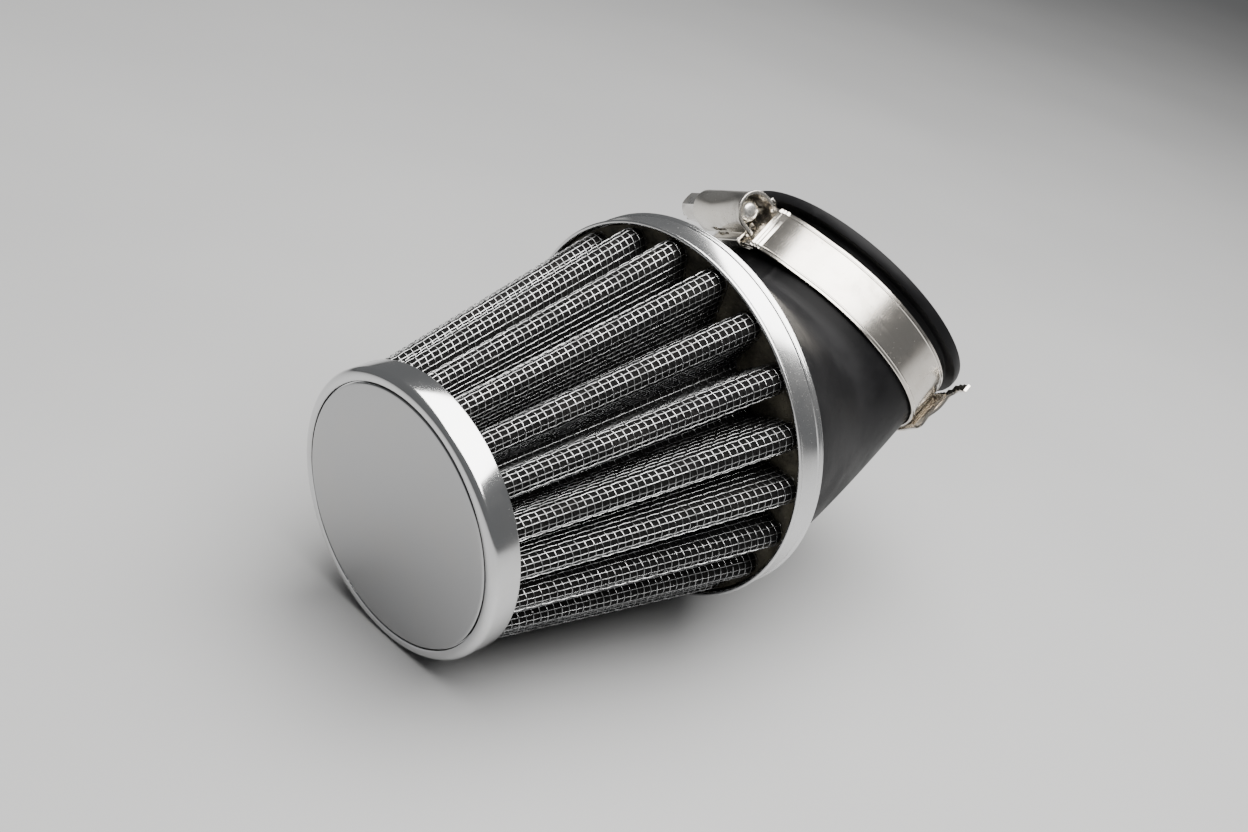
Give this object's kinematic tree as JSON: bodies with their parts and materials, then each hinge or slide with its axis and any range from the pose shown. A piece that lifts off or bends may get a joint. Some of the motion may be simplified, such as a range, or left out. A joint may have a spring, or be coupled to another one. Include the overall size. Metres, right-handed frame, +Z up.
{
  "type": "air filter",
  "caption": "Conical clamp-on pod air filter: pleated wire-screened pack between chromed cap and ring, angled rubber neck with a worm-drive hose clamp.",
  "frame": {"origin": "bottom centre of the whole filter's box, as it lies on the rims of its cap and ring", "axes": "+X from the cap towards the neck, along the floor; +Z up, the side that the neck bends to"},
  "size_m": [0.1476, 0.08, 0.0825],
  "materials": {
    "plate_chrome": "mirror chrome disc",
    "cap_chrome": "bright chrome plate",
    "ring_chrome": "bright chrome plate",
    "potting_resin": "matt olive-brown casting resin",
    "screen_wire": "drawn square-woven wire",
    "inner_screen_wire": "drawn square-woven wire",
    "media_cloth": "black oiled filter cloth",
    "seam_strip": "rolled strip",
    "neck_rubber": "satin black moulded rubber",
    "clamp_steel": "polished stainless strip",
    "housing_steel": "pressed stainless, polished",
    "screw_steel": "zinc-plated steel"
  },
  "bodies": {
    "filter": {"front_plate": "plate_chrome", "front_cap": "cap_chrome", "front_potting": "potting_resin", "outer_screen": "screen_wire", "filter_media": "media_cloth", "inner_screen": "inner_screen_wire", "pack_seam": "seam_strip", "rear_potting": "potting_resin", "rear_ring": "ring_chrome", "rubber_neck": "neck_rubber"},
    "clamp": {"clamp_band": "clamp_steel", "clamp_saddle": "clamp_steel", "clamp_housing": "housing_steel"},
    "screw": {"clamp_screw": "screw_steel"},
    "tail": {"clamp_tail": "clamp_steel"}
  },
  "joints": [
    {"name": "clamp_swivel", "type": "hinge", "parent": "filter", "child": "clamp", "pos_m": [0.04539, 0, 0.05502], "axis": [0.6851, 0, 0.7285], "continuous": true},
    {"name": "screw_turn", "type": "hinge", "parent": "clamp", "child": "screw", "pos_m": [0.02365, 0.01587, 0.07547], "axis": [-0.2934, -0.8808, 0.3716], "range_deg": [-720, 720]},
    {"name": "tail_feed", "type": "hinge", "parent": "clamp", "child": "tail", "pos_m": [0.04539, 0, 0.05502], "axis": [0.6851, 0, 0.7285], "range_deg": [-10, 10]}
  ],
  "couplings": [
    {"joint": "tail_feed", "follows": "screw_turn", "ratio": -0.013132}
  ]
}
